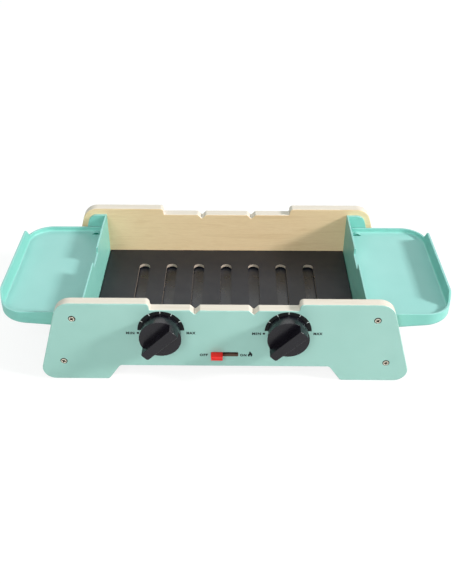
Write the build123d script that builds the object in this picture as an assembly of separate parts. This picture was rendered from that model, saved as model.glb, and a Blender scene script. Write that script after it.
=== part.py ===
from build123d import *
import math
import os

# Toy barbecue grill for a table top, in millimetres.
#
# Two wooden side panels stand on their own feet and are tied together by two moulded end walls.
# Between them lie a moulded ember tray and a slotted wooden grill plate. A moulded tray folds out
# at each end, the front panel carries two turning knobs and a slide switch, and a sound and light
# box hangs under the ember tray.
#
# Depth is measured back from the front panel's face while the pieces are drawn. Every piece is
# then moved by the same step, so that the origin is under the middle of the whole grill.

# Wooden panels
panel_thick = 10.0
panel_height = 89.0
grill_depth = 183.2
foot_outer = 177.4
end_lean = 16.0
foot_inner = 110.5
arch_half = 99.0
arch_height = 16.8
recess_half = 67.7
recess_depth = 7.0
step_run = 0.8
notch_x = 26.7
notch_half = 4.4
notch_depth = 4.6
foot_round = 12.0
top_round = 16.0
leg_round = 4.0
step_round = 3.6
step_foot_round = 1.2
notch_round = 1.5
notch_tip_round = 1.0
edge_round = 0.8

# Panel screws: countersunk, short ones high up and long ones low down
screw_shank = 1.75
screw_head = 3.7
screw_high_x, screw_high_drop = 139.0, 17.4
screw_low_x, screw_low_z = 152.0, 21.7
screw_low_length = 24.0
screw_fit = 0.05
boss_round = 4.2
cross_width = 1.1
cross_depth = 1.6

# Moulded end walls
wall_inside = 129.6
wall_thick = 1.8
wall_bottom = 12.0
wall_drop = 6.6
wall_edge = 0.5
flange_thick = 3.0
flange_inset = 6.2
flange_round = 9.5
finger_length = 28.0
finger_depth = 7.5
finger_round = 2.5
ledge_reach = 9.0
ledge_screw_inset = 5.4
ledge_thick = 3.0
gusset_thick = 2.0
gusset_drop = 7.0
gusset_pitch = 32.0
ledge_screw_from_end = 24.0
rib_reach = 4.0
rib_thick = 2.0
rib_drop = 7.3
rib_pitch = 45.0

# Ember tray under the plate
ember_base = 31.0
ember_thick = 2.0
ember_rim_tall = 1.6
ember_gap = 0.4
ember_rib_x = 88.0
ember_rib_depth = 122.0
ember_rib_tall = 3.0
ember_rib_thick = 1.6

# Grill plate
plate_thick = 3.0
plate_gap = 0.7
slot_count = 7
slot_pitch = 29.25
slot_width = 11.3
slot_length = 104.4
plate_edge = 0.5

# Fold-out trays
tray_outer = 212.8
tray_drop = 13.3
tray_rim_height = 4.9
tray_skirt_drop = 15.8
tray_wall = 2.2
tray_corner = 26.0
tray_rise_x = 163.0
tray_rise = 4.5
tray_side_gap = 0.5
lip_height = 9.9
lip_length = 104.0
lip_run = 7.0
lip_round = 2.5
tray_belly_round = 2.5
tray_cove = 2.0
tray_edge = 0.5
pivot_x = 141.0
pivot_drop = 8.1
pivot_round = 2.5
pivot_fit = 0.05
pivot_boss = 4.6
heel_gap = 0.3
slit_width = 1.2
slit_from_side = 8.4
slit_length = 13.5
tray_rib_drop = 3.8
tray_rib_thick = 1.6
tray_rib_count = 5

# Knobs
knob_x = 57.9
knob_drop = 28.9
knob_base_round = 17.8
knob_face_round = 19.2
knob_height = 14.5
knob_standoff = 1.2
knob_edge = 0.3
bar_height = 9.0
bar_nose_half = 4.5
bar_tail_half = 5.1
bar_nose = 20.3
bar_nose_round = 2.2
bar_angle = 224.5
bar_edge = 0.5
knob_shell = 2.3
knob_hub = 7.0
knob_rib = 1.6
knob_shaft = 4.5
shaft_fit = 0.05
shaft_end = 6.3
bush_round = 6.5
bush_flange_round = 8.5
bush_flange_thick = 1.2
bush_seat = 5.0
counterbore = 8.8
washer_round = 7.2
washer_thick = 1.0
knob_screw_shank = 1.45
knob_screw_head = 3.1
knob_screw_head_thick = 2.0
knob_screw_length = 10.0

# Slide switch in the back of the front panel
switch_z = 31.4
switch_travel = 14.2
cap_length = 11.0
cap_tall = 4.5
cap_reach = 7.6
cap_round = 1.4
cap_gap = 0.3
cap_groove = 0.35
web_thick = 4.0
shutter_thick = 0.8
shutter_tall = 8.0
shutter_cover = 1.0
pocket_gap = 0.6
fork_reach = 0.9
fork_thick = 1.5
lever_half = 1.5
switch_case_back = 7.9
switch_case_thick = 1.8
switch_case_tall = 6.6
switch_case_skin = 0.7
board_thick = 1.0
board_screw_head_thick = 0.9
switch_board_half = 33.0
switch_board_tall = 11.4
board_screw_inset = 2.6

# Sound and light box
box_half = 52.0
box_front = 16.0
box_bottom = 15.0
box_wall = 1.8
box_floor = 2.4
ear_reach = 9.0
ear_thick = 2.6
ear_width = 10.0
ear_drop = 10.0
hanger_round = 3.5
cell_round = 5.25
cell_length = 44.5
cell_pitch = 11.0
spring_room = 4.2
bay_end_rib = 1.4
door_screw_room = 4.4
cell_count = 3
bay_side_gap = 1.5
door_thick = 1.4
door_gap = 0.2
door_ledge = 1.6
speaker_round = 16.0
speaker_tall = 6.6
speaker_cup = 1.6
grille_hole = 1.3
circuit_rise = 11.5
circuit_thick = 1.6
circuit_wall_gap = 0.7
circuit_bay_gap = 3.0
circuit_end_gap = 1.7
circuit_margin = 3.5
post_round = 2.6
small_screw_shank = 1.1
small_screw_head = 2.2
small_screw_head_thick = 1.4
small_screw_slot = 0.6
small_screw_slot_depth = 0.7
case_screw_length = 10.0
door_screw_length = 7.0
circuit_screw_length = 6.0
pilot_depth = 9.0
fit_gap = 0.05
hanger_from_end = 8.0

# Cells, their metal parts and the door
cell_button_round = 1.9
cell_button_tall = 0.8
spring_wire = 0.3
spring_round = 2.6
spring_turns = 3
contact_half = 4.2
contact_thick = 0.5
door_lip = 3.4
door_tongue_half = 5.0
door_tongue_reach = 4.0
door_rib_half = 0.8
door_rib_tall = 1.4

# What is soldered on the circuit board
chip_size = 9.0
chip_tall = 1.3
chip_right = 5.0
chip_from_post = 4.0
can_round = 2.0
can_tall = 2.4
can_left = 10.0
can_from_post = 8.0
resistor_count = 3
resistor_left = 15.0
resistor_from_post = 10.0
resistor_pitch = 6.0
resistor_long, resistor_wide, resistor_tall = 2.0, 1.2, 0.5
lamp_count = 3
lamp_pitch = 15.0
lamp_half_wide, lamp_half_deep = 1.7, 1.4
lamp_base_tall = 1.1
lamp_round = 1.3

# Slide switch case and lever
lever_tall_half = 1.2
lever_foot_half = 2.4
lever_foot_tall_half = 2.2
case_room_end = 2.7
case_room_tall_half = 2.5
case_end_wall = 6.0
case_slot_tall_half = 1.5

# Rings of holes over the speaker; each ring has this many more than the one inside it
grille_pitch = 4.5
grille_ring_count = 2
grille_more_holes = 6

# Worked out from the sizes above
top_half = foot_outer - panel_height * math.tan(math.radians(end_lean))
recess_z = panel_height - recess_depth
rear_inside = grill_depth - panel_thick
mid_depth = grill_depth / 2
wall_outside = wall_inside + wall_thick
wall_top = panel_height - wall_drop
screw_high_z = panel_height - screw_high_drop
knob_z = panel_height - knob_drop
tray_rim = wall_top - tray_drop
tray_floor = tray_rim - tray_rim_height
tray_skirt = tray_rim - tray_skirt_drop
lip_top = tray_rim + lip_height
pivot_z = tray_rim - pivot_drop
rib_top = tray_skirt - rib_drop
flange_back = panel_thick + flange_thick
ember_floor = ember_base + ember_thick
ember_rim = ember_floor + ember_rim_tall
plate_bottom = ember_rim
plate_top = plate_bottom + plate_thick
ember_half = wall_inside - ember_gap
ledge_screw_x = wall_inside - ledge_screw_inset
ledge_screw_depths = (ledge_screw_from_end, grill_depth - ledge_screw_from_end)
tray_front = flange_back + tray_side_gap
tray_rear = grill_depth - tray_front
tray_heel = wall_outside + heel_gap
heel_swing = pivot_x - tray_heel
knob_front = -(knob_height + bar_height)
cap_rest = -switch_travel / 2
slot_half = (switch_travel + cap_length) / 2 + cap_gap
shutter_half = cap_length / 2 + switch_travel + cap_gap + shutter_cover
pocket_half = shutter_half + switch_travel / 2 + pocket_gap
shutter_front = web_thick + 0.2
shutter_back = shutter_front + shutter_thick
case_front = switch_case_back - switch_case_thick
box_inside = box_bottom + box_floor
circuit_z = box_bottom + circuit_rise
bay_front = box_front + box_wall
cells_front = bay_front + spring_room
cells_back = cells_front + cell_length
door_screw_depth = cells_back + door_screw_room
box_back = door_screw_depth + box_wall + 1.3
hanger_x = box_half + ear_reach - hanger_round
hanger_depths = (box_front + hanger_from_end, box_back - hanger_from_end)
ear_top = ember_base - ear_drop
cells_z = box_inside + 0.2 + cell_round
bay_half = cell_pitch * cell_count / 2 + 0.6
bay_x = box_half - box_wall - bay_side_gap - door_ledge - bay_half
bay_left = bay_x - bay_half - door_ledge - box_wall
circuit_left = -box_half + box_wall + circuit_wall_gap
circuit_right = bay_left - circuit_bay_gap
circuit_half_wide = (circuit_right - circuit_left) / 2 - circuit_margin
circuit_half_deep = (box_back - box_front) / 2 - box_wall - circuit_end_gap - circuit_margin
speaker_x = (circuit_left + circuit_right) / 2
speaker_depth = (box_front + box_back) / 2
middle_shift = -(grill_depth + knob_front) / 2


def block(x_low, x_high, y_low, y_high, z_low, z_high):
    """Box between two corners."""
    size = (x_high - x_low, y_high - y_low, z_high - z_low)
    middle = ((x_low + x_high) / 2, (y_low + y_high) / 2, (z_low + z_high) / 2)
    return Pos(*middle) * Box(*size)


def rod_y(x, z, radius, y_low, y_high):
    """Round rod along the depth."""
    return Pos(x, (y_low + y_high) / 2, z) * Rot(90, 0, 0) * Cylinder(radius, y_high - y_low)


def rod_x(x_low, x_high, y, z, radius):
    """Round rod along x."""
    return Pos((x_low + x_high) / 2, y, z) * Rot(0, 90, 0) * Cylinder(radius, x_high - x_low)


def rod_z(x, y, radius, z_low, z_high):
    """Round upright rod."""
    return Pos(x, y, (z_low + z_high) / 2) * Cylinder(radius, z_high - z_low)


def rounded_face(corners):
    """Flat face from (u, v, corner radius) points."""
    points = [(u, v) for u, v, _ in corners]
    radii = [radius for _, _, radius in corners]
    return make_face(FilletPolyline(*points, radius=radii, close=True))


def slab_y(face, y_low, y_high):
    """Outline drawn in x and z, made thick along the depth."""
    return Pos(0, y_high, 0) * extrude(Plane.XZ * face, amount=y_high - y_low)


def slab_x(face, x_low, x_high):
    """Outline drawn in depth and height, made thick along x."""
    return Pos(x_low, 0, 0) * extrude(Plane.YZ * face, amount=x_high - x_low)


def slab_z(face, z_low, z_high):
    """Outline drawn in plan, made thick upwards."""
    return Pos(0, 0, z_low) * extrude(face, amount=z_high - z_low)


def fuse(pieces):
    """One solid from overlapping or touching pieces."""
    whole = pieces[0]
    for piece in pieces[1:]:
        whole = whole + piece
    return whole


def both_sides(piece):
    """The piece and its mirror image about the middle of the grill."""
    return [piece, mirror(piece, about=Plane.YZ)]


def revolved_y(profile, x, z):
    """Turned piece about an axis along the depth, from (radius, depth) points."""
    face = make_face(Polyline(*profile, close=True))
    return Pos(x, 0, z) * revolve(Plane.XY * face, axis=Axis.Y)


def revolved_z(profile, x, y):
    """Turned piece about an upright axis, from (radius, height) points."""
    face = make_face(Polyline(*profile, close=True))
    return Pos(x, y, 0) * revolve(Plane.XZ * face, axis=Axis.Z)


# Wooden panels

def panel_outline():
    """Feet, arch, leaning ends, top recess and two skewer notches."""
    right = [
        (arch_half, arch_height, leg_round),
        (foot_inner, 0, leg_round),
        (foot_outer, 0, foot_round),
        (top_half, panel_height, top_round),
        (recess_half + step_run, panel_height, step_round),
        (recess_half, recess_z, step_foot_round),
        (notch_x + notch_half, recess_z, notch_round),
        (notch_x, recess_z - notch_depth, notch_tip_round),
        (notch_x - notch_half, recess_z, notch_round),
    ]
    left = [(-x, z, radius) for x, z, radius in reversed(right)]
    return rounded_face(right + left)


def screw_places():
    """Screw axes on one panel, with the depth that each screw reaches."""
    high = [(s * screw_high_x, screw_high_z, flange_back - 0.2) for s in (-1, 1)]
    low = [(s * screw_low_x, screw_low_z, screw_low_length) for s in (-1, 1)]
    return high + low


def screw_profile(length, gap):
    """Countersunk screw outline from its flat head to its end, grown by a gap."""
    cone = screw_head - screw_shank
    return [
        (0, 0), (screw_head + gap, 0), (screw_shank + gap, cone),
        (screw_shank + gap, length + gap), (0, length + gap),
    ]


def plain_panel():
    """Panel with softened edges and holes for the end wall screws."""
    panel = slab_y(panel_outline(), 0, panel_thick)
    broad = panel.faces().filter_by(Axis.Y)
    panel = fillet(broad.edges(), edge_round)
    for x, z, length in screw_places():
        panel -= revolved_y(screw_profile(length, screw_fit), x, z)
    return panel


def knob_bore(x):
    """Stepped hole for one knob's bush, opening into a counterbore at the back."""
    through = rod_y(x, knob_z, bush_round + fit_gap, -1, bush_seat)
    return through + rod_y(x, knob_z, counterbore, bush_seat, panel_thick + 1)


def switch_pocket():
    """Slot in the face, and a stepped pocket behind it for the shutter and the board."""
    slot = rounded_face([
        (sx * slot_half, switch_z + sz * (cap_tall / 2 + cap_gap), 1.0)
        for sx, sz in ((-1, -1), (1, -1), (1, 1), (-1, 1))
    ])
    tall = shutter_tall / 2 + pocket_gap
    wide = switch_board_half + pocket_gap / 2
    shelf = switch_board_tall / 2 + pocket_gap / 2
    pocket = block(-pocket_half, pocket_half, web_thick, panel_thick, switch_z - tall, switch_z + tall)
    recess = block(-wide, wide, switch_case_back, panel_thick + 1, switch_z - shelf, switch_z + shelf)
    screws = [rod_y(x, switch_z, small_screw_shank + fit_gap, switch_case_back - 4, panel_thick)
              for x in switch_board_screw_places()]
    return fuse([slab_y(slot, -1, web_thick + 1), pocket, recess] + screws)


def front_panel():
    panel = plain_panel()
    for side in (-1, 1):
        panel -= knob_bore(side * knob_x)
    return panel - switch_pocket()


def rear_panel():
    turned = mirror(plain_panel(), about=Plane.XZ)
    return Pos(0, grill_depth, 0) * turned


def cross_recess(depth):
    """Phillips cross, cut into a head whose flat side is at depth zero."""
    arm = screw_head * 0.62
    return [block(-arm, arm, -depth, depth, -cross_width / 2, cross_width / 2),
            block(-cross_width / 2, cross_width / 2, -depth, depth, -arm, arm)]


def panel_screws():
    """Four countersunk screws of one panel, each its own solid."""
    screws = []
    for x, z, length in screw_places():
        screw = revolved_y(screw_profile(length, 0), x, z)
        for cut in cross_recess(cross_depth):
            screw -= Pos(x, 0, z) * cut
        screws.append(screw)
    return screws


def rear_screws():
    return [Pos(0, grill_depth, 0) * mirror(screw, about=Plane.XZ) for screw in panel_screws()]


# Moulded end walls

def flange_edge(z):
    """Outer edge of an end wall's flange, set in from the panel's leaning end."""
    lean = math.radians(end_lean)
    return foot_outer - z * math.tan(lean) - flange_inset / math.cos(lean)


def flange_face():
    return rounded_face([
        (wall_inside, wall_bottom, 0),
        (flange_edge(wall_bottom), wall_bottom, leg_round),
        (flange_edge(wall_top), wall_top, flange_round),
        (wall_inside, wall_top, 0),
    ])


def finger_notch():
    """Long shallow notch in the middle of the wall's top edge."""
    low = wall_top - finger_depth
    half = finger_length / 2
    face = rounded_face([
        (mid_depth - half, low, finger_round), (mid_depth + half, low, finger_round),
        (mid_depth + half, wall_top + 5, 0), (mid_depth - half, wall_top + 5, 0),
    ])
    return slab_x(face, wall_inside - 1, wall_outside + 1)


def ledge():
    """Shelf inside the wall that carries the ember tray, with its gussets and screw bosses."""
    low = ember_base - ledge_thick
    inner = wall_inside - ledge_reach
    pieces = [block(inner, wall_inside, panel_thick, rear_inside, low, ember_base)]
    gusset = make_face(Polyline((inner, low), (wall_inside, low), (wall_inside, low - gusset_drop),
                                close=True))
    for depth in (mid_depth - gusset_pitch, mid_depth, mid_depth + gusset_pitch):
        pieces.append(slab_y(gusset, depth - gusset_thick / 2, depth + gusset_thick / 2))
    for depth in ledge_screw_depths:
        pieces.append(rod_z(ledge_screw_x, depth, post_round, low - gusset_drop, ember_base))
    return pieces


def right_end_wall():
    wall = block(wall_inside, wall_outside, panel_thick, rear_inside, wall_bottom, wall_top)
    front = slab_y(flange_face(), panel_thick, flange_back)
    rear = slab_y(flange_face(), grill_depth - flange_back, rear_inside)
    pieces = [wall, front, rear] + ledge()
    for y_low, y_high in ((panel_thick, screw_low_length + 1),
                          (grill_depth - screw_low_length - 1, rear_inside)):
        pieces.append(rod_y(screw_low_x, screw_low_z, boss_round, y_low, y_high))
    for depth in (mid_depth - rib_pitch, mid_depth, mid_depth + rib_pitch):
        pieces.append(block(wall_outside, wall_outside + rib_reach, depth - rib_thick / 2,
                            depth + rib_thick / 2, wall_bottom, rib_top))
    whole = fuse(pieces) - finger_notch()
    crest = [e for e in whole.edges() if abs(e.center().Z - wall_top) < 0.01 and
             panel_thick + 1 < e.center().Y < rear_inside - 1]
    whole = fillet(crest, wall_edge)
    for x, z, length in screw_places():
        if x > 0:
            hole = revolved_y(screw_profile(length, screw_fit), x, z)
            whole = whole - hole - Pos(0, grill_depth, 0) * mirror(hole, about=Plane.XZ)
    whole -= rod_y(pivot_x, pivot_z, pivot_round + pivot_fit, panel_thick, rear_inside)
    for depth in ledge_screw_depths:
        whole -= rod_z(ledge_screw_x, depth, small_screw_shank + fit_gap,
                       ember_base - pilot_depth, ember_base + 1)
    return whole


# Grill plate and ember tray

def grill_plate():
    """Painted board with rounded slots, lying loose on the ember tray's rim."""
    half = wall_inside - plate_gap
    front, rear = panel_thick + plate_gap, rear_inside - plate_gap
    plate = block(-half, half, front, rear, plate_bottom, plate_top)
    plate = chamfer(plate.faces().sort_by(Axis.Z)[-1].edges(), plate_edge)
    slot = SlotOverall(slot_length, slot_width, rotation=90)
    for k in range(slot_count):
        x = (k - (slot_count - 1) / 2) * slot_pitch
        cut = slab_z(Pos(x, mid_depth) * slot, plate_bottom - 1, plate_top + 1)
        plate -= cut
    return plate


def ember_tray():
    """Very shallow dark pan under the plate. Its rim carries the plate, and ribs stiffen it below."""
    front, rear = panel_thick + ember_gap, rear_inside - ember_gap
    pan = block(-ember_half, ember_half, front, rear, ember_base, ember_rim)
    inner = ember_half - ember_thick
    pan -= block(-inner, inner, front + ember_thick, rear - ember_thick, ember_floor, ember_rim + 1)
    low = ember_base - ember_rib_tall
    half = ember_rib_thick / 2
    rib_end = wall_inside - ledge_reach - 2
    pieces = [pan, block(-rib_end, rib_end, ember_rib_depth - half, ember_rib_depth + half, low, ember_base)]
    for side in (-1, 1):
        x = side * ember_rib_x
        pieces.append(block(x - half, x + half, front + ember_thick, rear - ember_thick, low, ember_base))
        for depth in hanger_depths:
            pieces.append(rod_z(side * hanger_x, depth, hanger_round, ear_top, ember_base + 0.5))
    tray = fuse(pieces)
    for side in (-1, 1):
        for depth in ledge_screw_depths:
            tray -= rod_z(side * ledge_screw_x, depth, small_screw_shank + fit_gap, ember_base - 1,
                          ember_floor + 1)
        for depth in hanger_depths:
            tray -= rod_z(side * hanger_x, depth, small_screw_shank + fit_gap, ear_top - 1,
                          ember_base - 1)
    return tray


def pan_screw_z(x, y, seat, length, up):
    """Small pan head screw standing on its seat; up is 1 when the head is above the seat."""
    crown = small_screw_head * 0.6
    top = seat + up * small_screw_head_thick
    end = seat - up * length
    brim = seat + up * small_screw_head_thick * 0.6
    head = [(0, seat), (small_screw_head, seat), (small_screw_head, brim), (crown, top), (0, top)]
    shank = rod_z(x, y, small_screw_shank, min(seat, end), max(seat, end))
    screw = revolved_z(head, x, y) + shank
    low, high = top - small_screw_slot_depth, top + small_screw_slot_depth
    half = small_screw_slot / 2
    screw -= block(x - crown, x + crown, y - half, y + half, low, high)
    return screw - block(x - half, x + half, y - crown, y + crown, low, high)


def ember_tray_screws():
    return [pan_screw_z(side * ledge_screw_x, depth, ember_floor, case_screw_length, 1)
            for side in (-1, 1) for depth in ledge_screw_depths]


# Fold-out trays

def tray_plan(inset, heel):
    """Plan of the right tray, with two large outer corners."""
    corner = tray_corner - inset
    return rounded_face([
        (heel, tray_front + inset, 0),
        (tray_outer - inset, tray_front + inset, corner),
        (tray_outer - inset, tray_rear - inset, corner),
        (heel, tray_rear - inset, 0),
    ])


def tray_lip():
    """Raised middle of the outer wall, with sloping ends."""
    half = lip_length / 2
    face = rounded_face([
        (mid_depth - half - lip_run, tray_rim - 2, 0), (mid_depth - half - lip_run, tray_rim, 0),
        (mid_depth - half, lip_top, lip_round), (mid_depth + half, lip_top, lip_round),
        (mid_depth + half + lip_run, tray_rim, 0), (mid_depth + half + lip_run, tray_rim - 2, 0),
    ])
    return slab_x(face, tray_outer - tray_corner, tray_outer + 1)


def tray_arms():
    """Boss and pin of each snap pivot, beside the slits that let the arms bend."""
    near = tray_front
    far = tray_rear
    reach = tray_side_gap + flange_thick - 0.3
    arm = slit_from_side - 0.4
    return [
        rod_y(pivot_x, pivot_z, pivot_boss, near, near + arm),
        rod_y(pivot_x, pivot_z, pivot_boss, far - arm, far),
        rod_y(pivot_x, pivot_z, pivot_round, near - reach, near + 1),
        rod_y(pivot_x, pivot_z, pivot_round, far - 1, far + reach),
    ]


def tray_ribs():
    """Stiffening ribs under the floor, ended inside the tray's rounded plan."""
    low, high = tray_floor - tray_wall - tray_rib_drop, tray_floor - 0.5
    span = tray_rear - tray_front - 2 * slit_from_side - 8
    ribs = []
    for k in range(tray_rib_count):
        depth = mid_depth + (k / (tray_rib_count - 1) - 0.5) * span
        ribs.append(block(tray_heel + 1, tray_outer - 1, depth - tray_rib_thick / 2,
                          depth + tray_rib_thick / 2, low, high))
    middle = (tray_heel + tray_outer) / 2
    ribs.append(block(middle - tray_rib_thick / 2, middle + tray_rib_thick / 2, tray_front + 1,
                      tray_rear - 1, low, high))
    plan = slab_z(tray_plan(tray_wall / 2, tray_heel + 1), low, high)
    return [rib & plan for rib in ribs]


def heel_relief():
    """What is cut from above the pivot, so that the heel clears the end wall while it turns."""
    corner = block(tray_heel - 1, pivot_x, tray_front - 1, tray_rear + 1, pivot_z, tray_rim + 1)
    return corner - rod_y(pivot_x, pivot_z, heel_swing, tray_front - 2, tray_rear + 2)


def tray_underside():
    """What is cut from the skirt, whose lower edge rises towards the outer end."""
    slope = make_face(Polyline((tray_rise_x, tray_skirt), (tray_outer, tray_skirt + tray_rise),
                               (tray_outer + 5, tray_skirt + tray_rise), (tray_outer + 5, tray_skirt - 1),
                               (tray_rise_x, tray_skirt - 1), close=True))
    return slab_y(slope, 0, grill_depth)


def belly_edges(body):
    """Lower outer edges of the tray, without the heel and the line where the rise starts."""
    low = [f for f in body.faces() if f.normal_at().Z < -0.9]
    return [e for f in low for e in f.edges()
            if e.center().X > tray_heel + 1 and not (e.length > tray_rear - tray_front - 1
                                                     and e.center().X < tray_outer - 1)]


def right_tray():
    outside = slab_z(tray_plan(0, tray_heel), tray_skirt, lip_top)
    outside -= block(0, tray_outer + 1, 0, grill_depth, tray_rim, lip_top + 1) - tray_lip()
    outside -= tray_underside()
    outside = fillet(belly_edges(outside), tray_belly_round)
    above = slab_z(tray_plan(tray_wall, tray_heel - 10), tray_floor, lip_top + 5)
    above = fillet([e for e in above.faces().sort_by(Axis.Z)[0].edges()
                    if e.center().X > tray_heel], tray_cove)
    below = slab_z(tray_plan(tray_wall, tray_heel + tray_wall), tray_skirt - 1, tray_floor - tray_wall)
    shell = outside - above - below
    rim_edges = [e for e in shell.edges()
                 if e.center().Z > tray_rim - 0.01 and e.center().X > tray_heel + tray_wall]
    shell = fillet(rim_edges, tray_edge)
    whole = fuse([shell] + tray_ribs() + tray_arms()) - heel_relief()
    for depth in (tray_front + slit_from_side, tray_rear - slit_from_side):
        whole -= block(tray_heel - 1, tray_heel + slit_length, depth - slit_width / 2,
                       depth + slit_width / 2, tray_skirt - 1, tray_rim + 1)
    return whole


# Knobs

def knob_bar():
    """Tapered grip bar across the knob's face. Its nose stands past the rim, its tail ends flush."""
    tail = knob_face_round + 1
    face = rounded_face([(-tail, -bar_tail_half, 0), (bar_nose, -bar_nose_half, bar_nose_round),
                         (bar_nose, bar_nose_half, bar_nose_round), (-tail, bar_tail_half, 0)])
    bar = slab_y(face, knob_front, -knob_height + 2.0)
    nose_side = block(0, bar_nose + 1, knob_front - 1, 0, -tail, tail)
    bar = (bar & rod_y(0, 0, knob_face_round, knob_front - 1, 0)) + (bar & nose_side)
    bar = fillet(bar.faces().sort_by(Axis.Y)[0].edges(), bar_edge)
    return Rot(0, -bar_angle, 0) * bar


def knob_body():
    """Flared disc, hollow behind, with a hub, four ribs, the grip bar and the shaft."""
    disc = revolved_y([(0, -knob_height), (knob_face_round, -knob_height),
                       (knob_base_round, -knob_standoff), (0, -knob_standoff)], 0, 0)
    disc = fillet(disc.faces().sort_by(Axis.Y)[0].edges(), knob_edge)
    hollow = rod_y(0, 0, knob_base_round - knob_shell, -knob_height + knob_shell + 1, 0)
    hollow -= rod_y(0, 0, knob_hub, -knob_height, 1)
    for turn in (0, 90):
        web = block(-knob_base_round, knob_base_round, -knob_height, 1, -knob_rib / 2, knob_rib / 2)
        hollow -= Rot(0, turn, 0) * web
    collar = rod_y(0, 0, knob_hub - 0.5, -knob_standoff - 1, -0.3)
    shaft = rod_y(0, 0, knob_shaft, -knob_standoff - 1, shaft_end)
    knob = fuse([disc - hollow, knob_bar(), collar, shaft])
    bore = rod_y(0, 0, knob_screw_shank + fit_gap, shaft_end - knob_screw_length, shaft_end + 1)
    return knob - bore


def knob_bush():
    """Flanged sleeve in the panel, in which the shaft turns."""
    inner = knob_shaft + shaft_fit
    return revolved_y([(inner, 0.3), (bush_round, 0.3), (bush_round, bush_seat),
                       (bush_flange_round, bush_seat), (bush_flange_round, bush_seat + bush_flange_thick),
                       (inner, bush_seat + bush_flange_thick)], 0, 0)


def knob_washer():
    hole = knob_screw_shank + fit_gap
    return revolved_y([(hole, shaft_end), (washer_round, shaft_end),
                       (washer_round, shaft_end + washer_thick), (hole, shaft_end + washer_thick)], 0, 0)


def knob_screw():
    """Pan head screw that holds the washer to the shaft's end."""
    seat = shaft_end + washer_thick
    tip = shaft_end - knob_screw_length + 1
    top = seat + knob_screw_head_thick
    screw = revolved_y([(0, tip), (knob_screw_shank, tip + 1), (knob_screw_shank, seat),
                        (knob_screw_head, seat), (knob_screw_head, seat + 1.2),
                        (knob_screw_head * 0.6, top), (0, top)], 0, 0)
    for cut in cross_recess(0.9):
        screw -= Pos(0, top, 0) * (cut & rod_y(0, 0, knob_screw_head * 0.6, -1, 1))
    return screw


def at_knob(piece, side):
    return Pos(side * knob_x, 0, knob_z) * piece


# Slide switch

def switch_board_screw_places():
    return [side * (switch_board_half - board_screw_inset) for side in (-1, 1)]


def switch_slider():
    """Finger cap with a shutter behind the slot and a fork for the switch lever."""
    cap = block(-cap_length / 2, cap_length / 2, -cap_reach, shutter_front + 0.5,
                switch_z - cap_tall / 2, switch_z + cap_tall / 2)
    cap = fillet(cap.faces().sort_by(Axis.Y)[0].edges(), cap_round)
    for lift in (-1, 0, 1):
        z = switch_z + lift * cap_tall / 4
        cap -= rod_x(-cap_length, cap_length, -cap_reach, z, cap_groove)
    shutter = block(-shutter_half, shutter_half, shutter_front, shutter_back,
                    switch_z - shutter_tall / 2, switch_z + shutter_tall / 2)
    pieces = [cap, shutter]
    gap = lever_half + 0.1
    for side in (-1, 1):
        x_near, x_far = sorted((side * gap, side * (gap + fork_thick)))
        pieces.append(block(x_near, x_far, shutter_front, shutter_back + fork_reach,
                            switch_z - 2, switch_z + 2))
    return Pos(cap_rest, 0, 0) * fuse(pieces)


def switch_lever():
    """Lever that the fork pushes, with its foot inside the switch case."""
    nub = block(-lever_half, lever_half, shutter_back + 0.1, case_front + switch_case_skin + 0.4,
                switch_z - lever_tall_half, switch_z + lever_tall_half)
    foot = block(-lever_foot_half, lever_foot_half, case_front + switch_case_skin + 0.1,
                 switch_case_back - 0.1, switch_z - lever_foot_tall_half, switch_z + lever_foot_tall_half)
    return Pos(cap_rest, 0, 0) * (nub + foot)


def slide_switch():
    """Flat switch case, open behind and slotted in front for the lever."""
    reach = switch_travel / 2
    half = reach + case_end_wall
    case = block(-half, half, case_front, switch_case_back, switch_z - switch_case_tall / 2,
                 switch_z + switch_case_tall / 2)
    room_half = reach + case_room_end
    room = block(-room_half, room_half, case_front + switch_case_skin, switch_case_back + 1,
                 switch_z - case_room_tall_half, switch_z + case_room_tall_half)
    slot_half_long = reach + lever_half + 0.3
    slot = block(-slot_half_long, slot_half_long, case_front - 1, switch_case_back,
                 switch_z - case_slot_tall_half, switch_z + case_slot_tall_half)
    return case - room - slot


def switch_board():
    """Circuit board screwed into the pocket's shelf, behind the switch case."""
    tall = switch_board_tall / 2
    board = block(-switch_board_half, switch_board_half, switch_case_back,
                  switch_case_back + board_thick, switch_z - tall, switch_z + tall)
    for x in switch_board_screw_places():
        board -= rod_y(x, switch_z, small_screw_shank + fit_gap, 0, panel_thick)
    return board


def switch_board_screws():
    screws = []
    seat = switch_case_back + board_thick
    for x in switch_board_screw_places():
        head = rod_y(x, switch_z, small_screw_head, seat, seat + board_screw_head_thick)
        shank = rod_y(x, switch_z, small_screw_shank, switch_case_back - 3.5, seat)
        cut = block(x - 1.5, x + 1.5, seat + board_screw_head_thick / 2, seat + 2,
                    switch_z - small_screw_slot / 2, switch_z + small_screw_slot / 2)
        screws.append(head + shank - cut)
    return screws


# Sound and light box

def cell_places():
    return [bay_x + (k - (cell_count - 1) / 2) * cell_pitch for k in range(cell_count)]


def circuit_posts():
    """Posts that the circuit board is screwed to."""
    return [(x, y) for x in (speaker_x - circuit_half_wide, speaker_x + circuit_half_wide)
            for y in (speaker_depth - circuit_half_deep, speaker_depth + circuit_half_deep)]


def door_opening(grow):
    """Plan limits of the battery opening, grown on each side."""
    return (bay_x - bay_half - grow, bay_x + bay_half + grow,
            cells_front - 2.0 - grow, cells_back + 0.4 + grow)


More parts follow.
